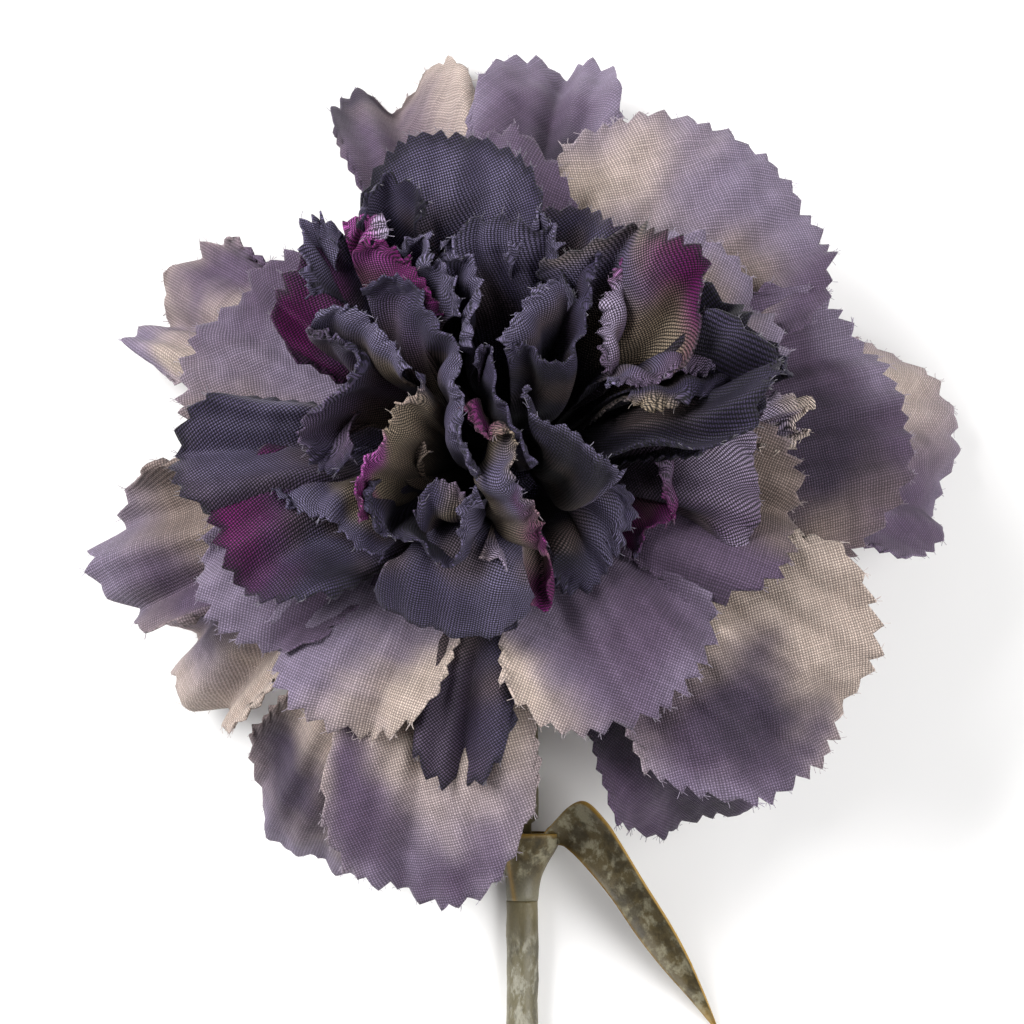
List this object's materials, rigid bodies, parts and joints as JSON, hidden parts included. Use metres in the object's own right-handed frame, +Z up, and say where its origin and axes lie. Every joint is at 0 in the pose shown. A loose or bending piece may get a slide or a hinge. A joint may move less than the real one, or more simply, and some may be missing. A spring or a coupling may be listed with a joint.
{
  "type": "artificial carnation",
  "caption": "Fabric carnation lying on a table: pinked, dyed petals in stacked rosettes on a moulded plastic stem with a calyx cup and a leaf.",
  "frame": {"origin": "centre of the bounding box in plan, on the table under the flower (Z = 0 at the lowest petal and the stem's underside)", "axes": "+Y along the stem from its cut end towards the bloom, +Z up from the table, the way the bloom faces"},
  "size_m": [0.0946, 0.212, 0.0564],
  "materials": {
    "stem_plastic": "moulded plastic, grey-green, powdered and mottled",
    "leaf_plastic": "moulded plastic, brown-green with ochre edges",
    "calyx_plastic": "moulded plastic, dull green",
    "wire": "drawn steel wire",
    "cloth_cream": "plain woven polyester, dyed cream to lilac",
    "cloth_lilac": "plain woven polyester, dyed lilac with cream patches",
    "cloth_slate": "plain woven polyester, dyed slate blue with magenta tips"
  },
  "bodies": {
    "root": {"stem": "stem_plastic", "stem_wire": "wire", "leaf": "leaf_plastic", "calyx": "calyx_plastic", "petals_tier_1": "cloth_cream", "petals_tier_2": "cloth_lilac", "petals_tier_3": "cloth_lilac", "petals_tier_4": "cloth_slate", "petals_tier_5": "cloth_slate", "petals_tier_6": "cloth_slate", "petals_tier_7": "cloth_slate", "petals_tier_8": "cloth_slate"}
  },
  "joints": []
}
